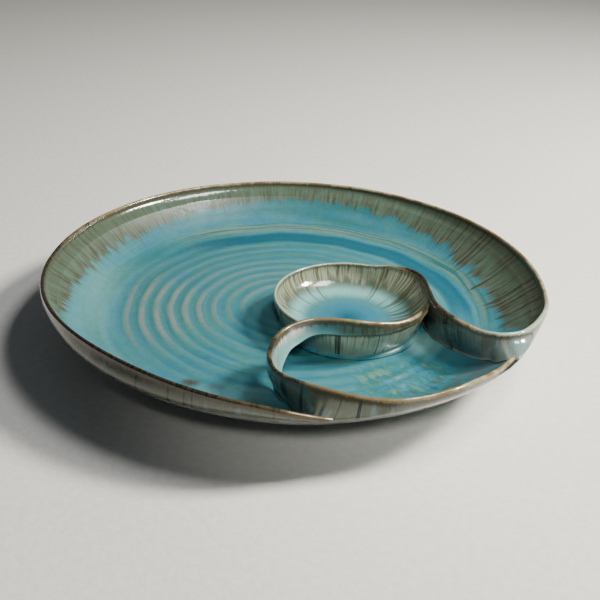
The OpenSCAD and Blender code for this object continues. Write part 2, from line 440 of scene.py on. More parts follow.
def rim_row(angle):
    """A row of the platter's own rim; its tail runs down to the seam at the front."""
    push = dent(angle)
    into_tail = np.clip((angle - RIM_END + TAIL_LONG) / TAIL_LONG, 0, 1)
    r = LIP_R - DENT_IN * push - TAIL_IN * into_tail ** 2
    z = LIP_Z + DENT_UP * push - TAIL_DOWN * into_tail ** 1.5
    turn = np.radians(angle)
    return np.array([r * np.cos(turn), r * np.sin(turn), z, SEAM_IN_R - r, EDGE, 0])


def before_first(rows):
    """The row that leads straight in to the first one."""
    return 2 * np.array(rows[0], float) - np.array(rows[1], float)


# ---- node materials
class Nodes:
    """Short names for the node calls that the glazes are written in."""

    def __init__(self, name):
        self.material = bpy.data.materials.new(name)
        self.material.use_nodes = True
        self.tree = self.material.node_tree
        self.tree.nodes.clear()
        metres = self.new("ShaderNodeTexCoord").outputs["Object"]
        self.place = self.scaled(metres, (1 / MM, 1 / MM, 1 / MM))

    def put(self, socket, value):
        if isinstance(value, bpy.types.NodeSocket):
            self.tree.links.new(value, socket)
        elif isinstance(value, tuple) and len(value) == 3 and socket.type == "RGBA":
            socket.default_value = (*value, 1)
        else:
            socket.default_value = value

    def new(self, kind, **settings):
        node = self.tree.nodes.new(kind)
        for key, value in settings.items():
            setattr(node, key, value)
        return node

    def math(self, operation, a, b=0.0):
        node = self.new("ShaderNodeMath", operation=operation)
        self.put(node.inputs[0], a)
        self.put(node.inputs[1], b)
        return node.outputs[0]

    def add(self, a, b):
        return self.math("ADD", a, b)

    def sub(self, a, b):
        return self.math("SUBTRACT", a, b)

    def mul(self, a, b):
        return self.math("MULTIPLY", a, b)

    def step(self, value, low, high):
        """0 below low and 1 above high, smooth between; swapped limits turn it round."""
        if isinstance(low, float) and isinstance(high, float) and low > high:
            return self.sub(1.0, self.step(value, high, low))
        node = self.new("ShaderNodeMapRange", interpolation_type="SMOOTHSTEP")
        self.put(node.inputs["Value"], value)
        self.put(node.inputs["From Min"], low)
        self.put(node.inputs["From Max"], high)
        return node.outputs["Result"]

    def length(self, x, y):
        return self.math("SQRT", self.add(self.mul(x, x), self.mul(y, y)))

    def xyz(self, x=0.0, y=0.0, z=0.0):
        node = self.new("ShaderNodeCombineXYZ")
        for socket, value in zip(node.inputs, (x, y, z)):
            self.put(socket, value)
        return node.outputs[0]

    def parts(self, vector):
        node = self.new("ShaderNodeSeparateXYZ")
        self.put(node.inputs[0], vector)
        return node.outputs

    def scaled(self, vector, scale):
        node = self.new("ShaderNodeVectorMath", operation="MULTIPLY")
        self.put(node.inputs[0], vector)
        self.put(node.inputs[1], scale)
        return node.outputs[0]

    def noise(self, vector, scale=1.0, detail=2.0, rough=0.5, shift=0.0):
        node = self.new("ShaderNodeTexNoise")
        if shift:
            moved = self.new("ShaderNodeVectorMath", operation="ADD")
            self.put(moved.inputs[0], vector)
            moved.inputs[1].default_value = (shift, 1.7 * shift, -shift)
            vector = moved.outputs[0]
        self.put(node.inputs["Vector"], vector)
        self.put(node.inputs["Scale"], scale)
        self.put(node.inputs["Detail"], detail)
        self.put(node.inputs["Roughness"], rough)
        return node.outputs["Fac"]

    def mix(self, amount, a, b):
        node = self.new("ShaderNodeMix", data_type="RGBA")
        self.put(node.inputs["Factor"], amount)
        self.put(node.inputs["A"], a)
        self.put(node.inputs["B"], b)
        return node.outputs["Result"]

    def ramp(self, value, stops):
        node = self.new("ShaderNodeValToRGB")
        node.color_ramp.interpolation = "EASE"
        elements = node.color_ramp.elements
        while len(elements) < len(stops):
            elements.new(0.5)
        for element, (place, colour) in zip(elements, stops):
            element.position = place
            element.color = (*colour, 1)
        self.put(node.inputs[0], value)
        return node.outputs["Color"]

    def attribute(self, name, output):
        node = self.new("ShaderNodeAttribute", attribute_name=name)
        return node.outputs[output]

    def finish(self, colour, rough, relief, strength, distance, **coat):
        """The shader of the whole material; relief bumps it by up to distance metres."""
        shader = self.new("ShaderNodeBsdfPrincipled")
        self.put(shader.inputs["Base Color"], colour)
        self.put(shader.inputs["Roughness"], rough)
        for key, value in coat.items():
            shader.inputs[key.replace("_", " ")].default_value = value
        bump = self.new("ShaderNodeBump")
        bump.inputs["Strength"].default_value = strength
        bump.inputs["Distance"].default_value = distance
        self.put(bump.inputs["Height"], relief)
        self.put(shader.inputs["Normal"], bump.outputs[0])
        self.put(shader.inputs["Coat Normal"], bump.outputs[0])
        output = self.new("ShaderNodeOutputMaterial")
        self.put(output.inputs["Surface"], shader.outputs[0])
        return self.material


TURQUOISE = (0.044, 0.168, 0.190)
SKY = (0.027, 0.148, 0.212)
DEEP = (0.006, 0.075, 0.112)
TEAL = (0.016, 0.108, 0.105)
AQUA = (0.160, 0.360, 0.340)
SEA_GREEN = (0.078, 0.178, 0.136)
SAND = (0.180, 0.198, 0.148)
SAGE = (0.076, 0.104, 0.070)
PALE_SAGE = (0.270, 0.310, 0.210)
SLATE = (0.074, 0.096, 0.094)
MIST = (0.250, 0.290, 0.255)
OLIVE = (0.055, 0.052, 0.024)
BROWN = (0.044, 0.032, 0.019)
TAR = (0.009, 0.009, 0.006)
MILK = (0.520, 0.530, 0.480)
GOLD = (0.175, 0.120, 0.050)
CREAM = (0.360, 0.320, 0.190)
MINT = (0.330, 0.420, 0.330)
BISCUIT = (0.400, 0.280, 0.170)
GROG = (0.260, 0.170, 0.100)
PALE_CLAY = (0.500, 0.380, 0.260)

# Middles of the brown smudges on the floor, inside the front rim.
SMUDGES = [(-56.0, -95.0), (-41.0, -99.0), (-20.0, -109.0)]


class Glaze(Nodes):
    """A reactive glaze: rings and mottle by place, streaks and drips by distance from the lip."""

    def __init__(self, name):
        super().__init__(name)
        self.x, self.y, self.z = self.parts(self.place)
        self.r = self.length(self.x, self.y)
        self.lip_x, self.lip_y, self.side = self.parts(self.attribute("lip", "Vector"))
        self.down = self.math("ABSOLUTE", self.side)
        tones = self.new("ShaderNodeSeparateColor")
        self.put(tones.inputs[0], self.attribute("tone", "Color"))
        self.fringe = self.mul(tones.outputs[0], 100.0)
        self.brown, self.toast = tones.outputs[1], tones.outputs[2]
        # The tone's alpha is painted shade: how much darker an outer face is painted on the shadow
        # side.
        self.painted_shade = self.attribute("tone", "Alpha")

    def streak(self, wide, long, shift=0.0, detail=2.0):
        """Noise drawn out down the wall, in patches about wide by long millimetres."""
        vector = self.xyz(self.mul(self.lip_x, 1 / wide), self.mul(self.lip_y, 1 / wide),
                          self.mul(self.down, 1 / long))
        return self.noise(vector, 1.0, detail, 0.55, shift)

    def faces(self, inside, outside):
        """The inner face's colour up to the crest of the lip, and the outer face's beyond it."""
        return self.mix(self.step(self.side, -0.5, 0.5), inside, outside)

    def spot(self, x, y, wide, deep, soft):
        """1 inside an oval patch of the plan, fading to 0 at its edge."""
        dx = self.mul(self.sub(self.x, x), 1 / wide)
        dy = self.mul(self.sub(self.y, y), 1 / deep)
        return self.step(self.length(dx, dy), 1.0, soft)

    def speckle(self, colour, amount=0.35):
        """Fine crystals in the glaze, lighter and darker than the colour."""
        fine = self.noise(self.place, 1.1, 2.0, 0.6)
        coarse = self.noise(self.place, 0.28, 2.0, 0.5, 5.0)
        both = self.add(self.mul(fine, 0.6), self.mul(coarse, 0.4))
        node = self.new("ShaderNodeHueSaturation")
        self.put(node.inputs["Color"], colour)
        self.put(node.inputs["Value"], self.add(self.mul(self.sub(both, 0.5), 2.2 * amount), 1.0))
        return node.outputs["Color"]

    def rings(self):
        """The blue floor with its teal, green and sandy throwing rings."""
        wander = self.noise(self.place, 0.025, 1.0, 0.5)
        r = self.add(self.r, self.mul(self.sub(wander, 0.5), 5.0))
        turn = self.mul(self.math("COSINE", self.mul(r, 2 * math.pi / RING_PITCH)), -1.0)
        fine = self.noise(self.xyz(self.mul(r, 0.75), self.mul(self.x, 0.012),
                                   self.mul(self.y, 0.012)), 1.0, 2.0, 0.6)
        broad = self.noise(self.xyz(self.mul(r, 0.09), self.mul(self.x, 0.008),
                                    self.mul(self.y, 0.008)), 1.0, 1.0, 0.5, 9.0)
        mottle = self.noise(self.place, 0.05, 3.0, 0.55, 2.0)
        base = self.mix(self.step(mottle, 0.35, 0.7), TURQUOISE, SKY)
        base = self.mix(self.mul(self.step(broad, 0.5, 0.75), 0.7), base, TEAL)
        in_rings = self.mul(self.step(r, 16.0, 30.0), self.step(r, 116.0, 106.0))
        crest = self.mul(self.step(turn, -0.1, 0.9), in_rings)
        trough = self.mul(self.step(turn, -0.2, -0.9), in_rings)
        sandy = self.math("MAXIMUM", self.spot(-88.0, -12.0, 62.0, 62.0, 0.35),
                          self.mul(self.spot(-30.0, 30.0, 60.0, 50.0, 0.3), 0.6))
        sandy = self.mul(sandy, self.step(mottle, 0.2, 0.5))
        warm = self.mix(sandy, SEA_GREEN, SAND)
        colour = self.mix(self.mul(crest, self.add(0.35, self.mul(sandy, 0.4))), base, warm)
        between = self.mix(sandy, self.mix(broad, TEAL, SKY), self.mix(0.55, TEAL, SEA_GREEN))
        colour = self.mix(self.mul(trough, 0.6), colour, between)
        colour = self.mix(self.mul(self.step(fine, 0.55, 0.75), 0.35), colour, SEA_GREEN)
        colour = self.mix(self.mul(self.step(fine, 0.45, 0.25), 0.35), colour, DEEP)
        pale = self.mul(self.spot(-140.0, -10.0, 60.0, 100.0, 0.2), self.step(r, 110.0, 125.0))
        colour = self.mix(self.mul(pale, 0.35), colour, AQUA)
        back = self.step(self.add(self.y, self.mul(self.x, 0.5)), 20.0, 80.0)
        deep_ring = self.mul(self.step(r, 102.0, 107.0), self.step(r, 120.0, 116.0))
        colour = self.mix(self.mul(deep_ring, self.mul(back, 0.95)), colour, DEEP)
        green_ring = self.mul(self.step(r, 119.0, 123.0), self.step(r, 131.0, 127.0))
        green = self.mix(self.step(fine, 0.4, 0.6), TEAL, self.mix(0.4, SEA_GREEN, SAND))
        return self.mix(self.mul(green_ring, self.mul(back, 0.75)), colour, green)

    def front_well(self, colour):
        """The compartment's brushed patch, the smudges and pale places near it, and painted light
        where shadows fall.
        """
        slant = self.xyz(self.mul(self.add(self.x, self.y), 0.13),
                         self.mul(self.sub(self.x, self.y), 0.045))
        patch = self.noise(slant, 1.0, 3.0, 0.6, 4.0)
        well = self.ramp(patch, [(0.28, DEEP), (0.42, SKY), (0.52, TEAL), (0.64, SEA_GREEN),
                                 (0.8, SKY)])
        brushed = self.mul(self.spot(72.0, -84.0, 48.0, 36.0, 0.5), self.step(self.z, 36.0, 26.0))
        colour = self.mix(self.mul(brushed, 0.85), colour, well)
        blot = self.mul(self.step(self.noise(slant, 1.7, 2.0, 0.5, 8.0), 0.5, 0.64),
                        self.spot(86.0, -92.0, 34.0, 20.0, 0.3))
        colour = self.mix(self.mul(blot, 0.8), colour, OLIVE)
        tip = self.spot(118.0, -84.0, 34.0, 26.0, 0.3)
        colour = self.mix(self.mul(tip, 0.6), colour, SLATE)
        smudge = 0.0
        for x, y in SMUDGES:
            smudge = self.add(smudge, self.spot(x, y, 9.0, 6.0, 0.1))
        broken = self.step(self.noise(self.place, 0.35, 2.0, 0.6, 7.0), 0.2, 0.5)
        colour = self.mix(self.mul(self.mul(smudge, broken), 0.9), colour, BROWN)
        # A bright blue patch of glaze, made lighter as painted light where the front curl's shadow
        # falls.
        blue_patch_and_painted_light = self.spot(-28.0, -104.0, 30.0, 13.0, 0.3)
        colour = self.mix(self.mul(blue_patch_and_painted_light, 0.75), colour, self.mix(patch, SKY, AQUA))
        # Painted light: a pale aqua pool between the bowl and the strap, where the strap's shadow
        # falls.
        painted_light = self.spot(80.0, -38.0, 18.0, 20.0, 0.2)
        colour = self.mix(self.mul(painted_light, 0.9), colour, AQUA)
        curl = self.mul(self.spot(-8.0, -97.0, 13.0, 26.0, 0.5), self.step(self.z, 20.0, 28.0))
        return self.mix(self.mul(curl, 0.9), colour, self.mix(0.35, MILK, MIST))

    def inside(self):
        """The chip well: rings, then the sage band under the lip with its brown fringe."""
        colour = self.front_well(self.rings())
        thin = self.streak(2.2, 34.0)
        wide = self.streak(7.0, 60.0, 3.0)
        drip = self.add(self.mul(thin, 0.55), self.mul(wide, 0.75))
        ragged = self.mul(self.fringe, self.add(0.35, drip))
        depth = self.sub(ragged, self.down)
        colour = self.mix(self.mul(self.step(depth, -14.0, 0.0), 0.3), colour, TEAL)
        sage = self.mix(self.mul(self.step(thin, 0.4, 0.8), 0.6), SAGE, SEA_GREEN)
        colour = self.mix(self.step(depth, -1.5, 1.5), colour, sage)
        edge = self.mul(self.step(depth, -4.0, 1.0), self.step(depth, 14.0, 2.0))
        hair = self.step(self.streak(1.3, 22.0, 6.0), 0.42, 0.62)
        dark = self.mul(self.mul(edge, hair), self.add(0.3, self.mul(self.brown, 0.6)))
        colour = self.mix(self.math("MINIMUM", dark, 0.9), colour, BROWN)
        heavy = self.mul(self.step(self.fringe, 18.0, 30.0), self.brown)
        under_lip = self.step(self.sub(self.mul(ragged, 0.5), self.down), -3.0, 5.0)
        colour = self.mix(self.mul(under_lip, self.mul(heavy, 0.5)), colour, OLIVE)
        vein = self.step(self.streak(3.4, 240.0, 14.0), 0.53, 0.60)
        run = self.sub(self.mul(self.fringe, self.add(0.3, self.mul(wide, 1.5))), self.down)
        vein = self.mul(vein, self.step(run, -2.0, 4.0))
        return self.mix(self.mul(vein, self.mul(heavy, 0.9)), colour, BROWN)

    def outside(self):
        """The outer faces: smooth grey glaze with dark runs under the lip, painted darker on the
        shadow side.
        """
        cloud = self.noise(self.place, 0.03, 2.0, 0.5)
        # pale is the outer glaze as lit, shade_side its painted shade copy.
        pale = self.mix(self.step(cloud, 0.35, 0.7), MIST, self.mix(0.5, MIST, TURQUOISE))
        shade_side = self.mix(self.step(cloud, 0.3, 0.7), SLATE, self.mix(0.5, SLATE, SAGE))
        colour = self.mix(self.painted_shade, pale, shade_side)
        run = self.add(self.mul(self.streak(3.0, 60.0, 2.0), 0.6),
                       self.mul(self.streak(9.0, 90.0, 7.0), 0.7))
        # The dark runs under the lip reach further down where the painted shade is deeper.
        long = self.sub(self.mul(self.add(self.mul(self.painted_shade, 30.0), 5.0),
                                 self.mul(self.sub(run, 0.45), 3.0)), self.down)
        colour = self.mix(self.mul(self.step(long, -4.0, 9.0), 0.6), colour, OLIVE)
        # Tar-black runs, shown only where the painted shade is deep.
        tar = self.mul(self.step(self.streak(5.0, 200.0, 11.0), 0.62, 0.68), self.painted_shade)
        return self.mix(self.mul(tar, 0.85), colour, TAR)

    def lip(self, colour, wide=1.9):
        """The bare edge, where the glaze runs thin and the clay burns through."""
        patch = self.noise(self.place, 0.09, 3.0, 0.6, 1.0)
        fine = self.streak(1.2, 8.0, 8.0)
        gold = self.mix(self.step(patch, 0.4, 0.65), GOLD, CREAM)
        burnt = self.mix(self.step(fine, 0.35, 0.65), BROWN, TAR)
        amount = self.step(self.add(self.toast, self.mul(self.sub(patch, 0.5), 0.9)), 0.3, 0.7)
        edge = self.mix(amount, gold, burnt)
        edge = self.mix(self.mul(self.step(self.toast, 0.2, 0.08), 0.8), edge, MINT)
        reach = self.add(wide, self.mul(self.sub(fine, 0.5), 2.4))
        inner = self.step(self.sub(reach, self.down), -0.9, 0.6)
        brim = self.step(self.sub(self.add(reach, 2.4), self.down), -1.0, 1.0)
        colour = self.mix(self.mul(brim, 0.7), colour, self.mix(0.4, BROWN, OLIVE))
        return self.mix(inner, colour, edge)

    def fired(self, colour, rough=0.16, coat=0.6):
        """The glaze as it comes from the kiln: a glassy coat with a faint orange peel."""
        worn = self.noise(self.place, 0.12, 3.0, 0.6, 12.0)
        peel = self.add(self.mul(self.noise(self.place, 0.22, 2.0, 0.5, 3.0), 0.8),
                        self.mul(self.noise(self.place, 1.4, 2.0, 0.5, 6.0), 0.08))
        return self.finish(colour, self.add(rough - 0.05, self.mul(worn, 0.1)), peel, 0.25, 0.0006,
                           Specular_IOR_Level=0.4, Coat_Weight=coat, Coat_Roughness=0.04)


def platter_glaze(name, rough=0.16, coat=0.6):
    glaze = Glaze(name)
    faces = glaze.faces(glaze.inside(), glaze.outside())
    return glaze.fired(glaze.speckle(glaze.lip(faces)), rough, coat)


def bridge_glaze():
    """The raised strap: near white where the glaze is thick, olive streaks over the bowl."""
    glaze = Glaze("bridge_glaze")
    white = glaze.mix(glaze.step(glaze.streak(4.0, 40.0, 2.0), 0.35, 0.65), MILK, MIST)
    lower = glaze.step(glaze.down, 5.0, 11.0)
    curl = glaze.mix(lower, white, AQUA)
    patch = glaze.mul(glaze.spot(14.0, -66.0, 20.0, 12.0, 0.3), 0.8)
    green = glaze.mix(glaze.step(glaze.streak(2.0, 30.0, 5.0), 0.4, 0.65), SAGE, OLIVE)
    over_bowl = glaze.mix(glaze.step(glaze.down, 8.0, 12.0), green, SEA_GREEN)
    inside = glaze.mix(glaze.step(glaze.x, 2.0, 26.0), curl, over_bowl)
    inside = glaze.mix(patch, inside, glaze.mix(lower, TURQUOISE, AQUA))
    teeth = glaze.sub(glaze.mul(glaze.streak(2.4, 60.0, 9.0), 9.0), glaze.down)
    inside = glaze.mix(glaze.mul(glaze.step(teeth, -1.0, 1.0), 0.8), inside, OLIVE)
    faces = glaze.faces(inside, glaze.outside())
    return glaze.fired(glaze.speckle(glaze.lip(faces), 0.2))


def bowl_glaze():
    """The dip bowl: a pale sage band with drips, over a ring of aqua and a blue pool."""
    glaze = Glaze("bowl_glaze")
    hair = glaze.step(glaze.streak(1.4, 26.0, 4.0), 0.45, 0.66)
    wide = glaze.streak(5.0, 50.0, 9.0)
    line = glaze.add(13.0, glaze.mul(glaze.sub(wide, 0.5), 34.0))
    down = glaze.down
    pool = glaze.ramp(glaze.mul(down, 1 / 60), [(0.0, PALE_SAGE), (0.22, SAGE), (0.36, AQUA),
                                               (0.52, TURQUOISE), (0.66, SKY), (0.95, DEEP)])
    above = glaze.step(glaze.sub(line, down), -3.0, 3.0)
    inside = glaze.mix(glaze.mul(above, 0.7), pool, PALE_SAGE)
    inside = glaze.mix(glaze.mul(glaze.mul(above, hair), 0.8), inside, BROWN)
    drip = glaze.add(glaze.streak(3.6, 90.0, 1.0), glaze.mul(glaze.toast, 0.09))
    drip = glaze.step(drip, 0.60, 0.66)
    inside = glaze.mix(glaze.mul(drip, glaze.mul(glaze.step(down, 34.0, 24.0), 0.7)), inside, OLIVE)
    cloud = glaze.step(glaze.noise(glaze.place, 0.04), 0.35, 0.65)
    outside = glaze.mix(cloud, PALE_SAGE, glaze.mix(0.5, SEA_GREEN, MIST))
    outside = glaze.mix(glaze.mul(glaze.step(down, 12.0, 20.0), 0.4), outside, MIST)
    runs = glaze.mul(hair, glaze.mul(glaze.step(down, 22.0, 8.0), 0.55))
    outside = glaze.mix(runs, outside, OLIVE)
    outside = glaze.mix(glaze.mul(drip, 0.8), outside, TAR)
    faces = glaze.faces(inside, outside)
    return glaze.fired(glaze.speckle(glaze.lip(faces, 1.1), 0.25))


def bare_stoneware():
    """Fired clay without glaze, with dark grog and pale stains."""
    clay = Nodes("bare_stoneware")
    grog = clay.noise(clay.place, 1.3, 3.0, 0.7)
    stain = clay.noise(clay.place, 0.05, 2.0, 0.5)
    colour = clay.mix(clay.step(grog, 0.5, 0.72), BISCUIT, GROG)
    colour = clay.mix(clay.mul(clay.step(stain, 0.45, 0.7), 0.5), colour, PALE_CLAY)
    return clay.finish(colour, clay.add(0.7, clay.mul(grog, 0.2)), grog, 0.5, 0.0004)


# ---- colour along the lips
# By angle round the platter: fringe length / 100 mm, brown, burnt lip, painted shade of the outer
# face.
RIM_TONES = [
    (0, 0.35, 0.95, 0.25, 0.4), (20, 0.34, 0.95, 0.4, 0.6), (40, 0.27, 0.75, 0.4, 0.7),
    (60, 0.19, 0.5, 0.3, 0.7), (90, 0.15, 0.4, 0.3, 0.7), (120, 0.21, 0.4, 0.3, 0.7),
    (150, 0.25, 0.6, 0.4, 0.8), (175, 0.25, 0.9, 0.65, 0.9), (195, 0.20, 1.0, 0.85, 0.95),
    (210, 0.09, 0.8, 0.95, 0.95), (230, 0.04, 0.5, 0.95, 0.95), (255, 0.03, 0.5, 0.7, 0.9),
    (280, 0.02, 0.3, 0.5, 0.8), (320, 0.02, 0.2, 0.1, 0.2), (338, 0.03, 0.2, 0.1, 0.2),
    (348, 0.32, 0.95, 0.12, 0.25), (360, 0.35, 0.95, 0.25, 0.4),
]


def between(stops, places):
    """The four tones at each place, between stops that start with their own place."""
    stops = np.array(stops, float)
    return np.stack([np.interp(places, stops[:, 0], tone) for tone in stops.T[1:]], -1)


def tones_at(angle):
    return between(RIM_TONES, np.asarray(angle) % 360)


def tones_along(count, stops):
    """Tones for count stations, from stops at shares of the ribbon's length."""
    return between(stops, np.linspace(0, 1, count))


# ---- the walls
floor_glaze = platter_glaze("floor_glaze", 0.36, 0.12)
wall_glaze = platter_glaze("wall_glaze")
strap_glaze = platter_glaze("strap_glaze")
raised_glaze = bridge_glaze()
dip_glaze = bowl_glaze()
stoneware = bare_stoneware()

rim_rows = [rim_row(angle) for angle in np.arange(RIM_START, RIM_END + 1, RIM_STEP)]
strap_rows = resampled([*STRAP_ROWS, rim_rows[0]], before_first(STRAP_ROWS), rim_rows[1])
rim_path = resampled(rim_rows, STRAP_ROWS[-1], rim_row(RIM_END + RIM_STEP))
strap_count = len(strap_rows)
# The strap's tones, in the columns of RIM_TONES; the last is the painted shade of the outer face.
strap_tones = tones_along(strap_count, [
    (0.0, 0.04, 0.4, 0.4, 0.8), (0.1, 0.04, 0.4, 0.75, 0.8), (0.35, 0.05, 0.5, 0.7, 1.0),
    (0.5, 0.10, 0.6, 0.5, 0.9), (0.6, 0.2, 0.7, 0.2, 0.45), (0.7, 0.25, 0.9, 0.05, 0.3),
    (0.85, 0.3, 0.9, 0.05, 0.15), (1.0, *tones_at(RIM_START)),
])
rim_angles = np.degrees(np.arctan2(rim_path[:, 1], rim_path[:, 0]))
wall = Ribbon(np.vstack([strap_rows, rim_path[1:]]),
              np.vstack([strap_tones, tones_at(rim_angles)[1:]]), 12, 8)
wall.piece("bowl_strap", 0, strap_count - 1, strap_glaze, "strap_glaze")
wall.piece("rim_wall", strap_count - 1, len(wall.rows) - 1, wall_glaze, "wall_glaze")

bridge_path = resampled([*BRIDGE_ROWS, FRONT_ROWS[0]], before_first(BRIDGE_ROWS), FRONT_ROWS[1])
front_path = resampled(FRONT_ROWS, BRIDGE_ROWS[-1], before_first(FRONT_ROWS[::-1]))
bridge_count = len(bridge_path)
# Tones of the bridge and the front wall; the last column is the painted shade of the outer face.
bridge_tones = tones_along(bridge_count, [
    (0.0, 0.08, 0.5, 0.8, 0.8), (0.15, 0.08, 0.5, 0.3, 0.8), (0.5, 0.06, 0.4, 0.4, 0.7),
    (0.7, 0.03, 0.3, 0.5, 0.5), (1.0, 0.02, 0.3, 0.6, 0.8),
])
front_tones = tones_along(len(front_path), [
    (0.0, 0.02, 0.3, 0.6, 0.8), (0.12, 0.02, 0.3, 0.6, 1.0), (0.3, 0.02, 0.2, 0.5, 1.0),
    (0.6, 0.02, 0.2, 0.35, 0.6), (0.85, 0.02, 0.3, 0.3, 0.25), (1.0, 0.02, 0.2, 0.1, 0.1),
])
front = Ribbon(np.vstack([bridge_path, front_path[1:]]),
               np.vstack([bridge_tones, front_tones[1:]]), 14, 14)
front.piece("bridge_strap", 0, bridge_count - 1, raised_glaze, "strap_glaze")
front.piece("front_wall", bridge_count - 1, len(front.rows) - 1, wall_glaze, "wall_glaze")


# ---- thrown pieces
TURNS = 320


def thrown(profile, centre=(0, 0), lift=None, facing=1):
    """The points of a profile of (r, z) turned round a centre, with its normals."""
    angles = np.linspace(0, 2 * np.pi, TURNS, endpoint=False)
    r = profile[None, :, 0]
    z = np.broadcast_to(profile[None, :, 1], (TURNS, len(profile)))
    if lift is not None:
        rise, widen = lift(angles)
        z = z + rise[:, None] * profile[None, :, 2]
        r = r + widen[:, None] * profile[None, :, 2] ** 2
    points = np.stack([centre[0] + r * np.cos(angles)[:, None],
                       centre[1] + r * np.sin(angles)[:, None], z], -1)
    normals = grid_normals(points, True)
    points = points + facing * normals * hand_made(points)[..., None]
    normals = grid_normals(points, True)
    for k in np.flatnonzero(profile[:, 0] < 0.001):
        beside = k + 1 if k + 1 < len(profile) and profile[k + 1, 0] > 0.001 else k - 1
        points[:, k] = points[:, k].mean(0)
        normals[:, k] = [0, 0, np.sign(normals[:, beside, 2].mean())]
    return angles, points, normals


def dish_sheets():
    """The dish's inner and outer skins, from the middle out to the seam."""
    steps = np.r_[np.arange(0, FLOOR_R, 0.95), np.linspace(FLOOR_R, SEAM_IN_R, 42)]
    top = np.stack([steps, inner_z(steps)], -1)
    steps = np.r_[np.linspace(0, UNDER_R, 30, endpoint=False),
                  np.linspace(UNDER_R, FLOOR_R, 5, endpoint=False),
                  np.linspace(FLOOR_R, SEAM_OUT_R, 30)]
    return top, np.stack([steps, outer_z(steps)], -1)


def lips_for(angles, down, centre=(0, 0), reach=LIP_R):
    """The lip attribute of a thrown sheet: where its lip is, and how far down each point lies."""
    rim = np.stack([centre[0] + reach * np.cos(angles), centre[1] + reach * np.sin(angles)], -1)
    rim = np.broadcast_to(rim[:, None], (len(angles), len(down), 2))
    down = np.broadcast_to(down[None, :, None], (len(angles), len(down), 1))
    return np.concatenate([rim, down], -1)


def lengths(profile):
    return np.r_[0, np.cumsum(np.hypot(*np.diff(profile[:, :2], axis=0).T))]


def dish_sheet(profile, facing, down):
    """Points, normals, lips and tones of one skin of the dish, and the columns it is cut at."""
    angles, points, normals = thrown(profile, facing=facing)
    tones = tones_at(np.degrees(angles))
    tones = np.broadcast_to(tones[:, None], (TURNS, len(profile), 4))
    cuts = [0, int(np.argmin(np.abs(profile[:, 0] - FLOOR_R))), len(profile) - 1]
    return (points, normals, lips_for(angles, down), tones), cuts


# The dish's lips carry on from the feet of a plain stretch of wall, at the back of the rim.
PLAIN_STATION = strap_count + 200
top, under = dish_sheets()
in_length, out_length = lengths(top), lengths(under)
seam_at = np.interp(SEAM_IN_R, top[:, 0], in_length)
in_down = wall.lips[PLAIN_STATION, 1, 2] - (seam_at - in_length)
out_down = wall.lips[PLAIN_STATION, wall.last - 1, 2] + out_length[-1] - out_length
top_sheet, top_cuts = dish_sheet(top, 1, in_down)
under_sheet, under_cuts = dish_sheet(under, -1, out_down)


def joint_face(skin, cut, outward):
    """The hidden face where two thrown pieces meet, from the top skin to the bottom skin."""
    upper, _, lips, tones = (field[:, top_cuts[cut]] for field in top_sheet)
    points = np.stack([upper, under_sheet[0][:, under_cuts[cut]]], 1)
    normals = points * np.array([1, 1, 0])
    normals = normals / np.linalg.norm(normals, axis=-1, keepdims=True)
    skin.grid(points, -normals, np.stack([lips, lips], 1), np.stack([tones, tones], 1), wrap=True,
              flip=outward)


def build_dish(node, first):
    """The thrown ring of the dish from one cut to the next: 0 is the floor, 1 is the cove."""
    skin = Skin()
    for sheet, cuts, flip in (top_sheet, top_cuts, False), (under_sheet, under_cuts, True):
        ring = slice(cuts[first], cuts[first + 1] + 1)
        skin.grid(*(field[:, ring] for field in sheet), wrap=True, flip=flip)
    if first > 0:
        joint_face(skin, first, True)
    joint_face(skin, first + 1, False)
    skin.build(node, floor_glaze)


def ring_piece(node, profile, centre, material, lift=None, down=None, tone=tones_at):
    """A closed profile, turned into a ring or a bowl."""
    skin = Skin()
    outline = np.vstack([profile, profile[:1]])
    angles, points, normals = thrown(outline, centre, lift)
    down = lengths(outline) if down is None else np.r_[down, down[:1]]
    lips = lips_for(angles, down, centre, np.max(profile[:, 0]))
    tones = np.broadcast_to(tone(np.degrees(angles))[:, None], (TURNS, len(down), 4))
    skin.grid(points, normals, lips, tones, wrap=True)
    skin.build(node, material)


def rounded(corners, bevel=0.8):
    """A closed outline with each corner cut by a small bevel."""
    corners = np.array(corners, float)
    outline = []
    for before, corner, after in zip(np.roll(corners, 1, 0), corners, np.roll(corners, -1, 0)):
        for other in (before, after):
            way = other - corner
            outline.append(corner + way / np.linalg.norm(way) * bevel)
    return np.array(outline)


def densified(outline, step):
    points = []
    for a, b in zip(outline, np.roll(outline, -1, 0)):
        count = max(1, int(np.linalg.norm(b - a) / step))
        points += [a + (b - a) * k / count for k in range(count)]
    return np.array(points)


def build_foot():
    outer, inner = foot_high[0] - 1, foot_high[0] - 9.5
    stands_at, runs_into = 0.05, UNDER_Z + 0.3
    outline = rounded([[inner - 1.2, runs_into], [outer + 1, runs_into], [outer, stands_at],
                       [inner + 0.5, stands_at]])
    ring_piece("foot_ring", densified(outline, 1.2), (0, 0), stoneware)


def bowl_reach(angles):
    """How far the bowl's rim rises and widens to meet the strap that wraps round it."""
    turn = (np.degrees(angles) + 180) % 360 - 180
    rise = 2.4 * smoothstep(76, 54, turn) * smoothstep(-60, -25, turn)
    stops = [(-50, 0), (-20, 0.6), (-8, 1.4), (6, 1.7), (26, 4.4), (40, 5.4), (52, 3), (66, 0)]
    return rise, np.interp(turn, *np.array(stops).T)


def bowl_tones(degrees):
    turn = (degrees + 180) % 360 - 180
    east = smoothstep(80, 30, turn) * smoothstep(-60, -30, turn)
    flat = np.ones_like(turn)
    return np.stack([0.2 * flat, 0.4 * flat, 0.05 + 0.6 * east, 0.5 * flat], -1)


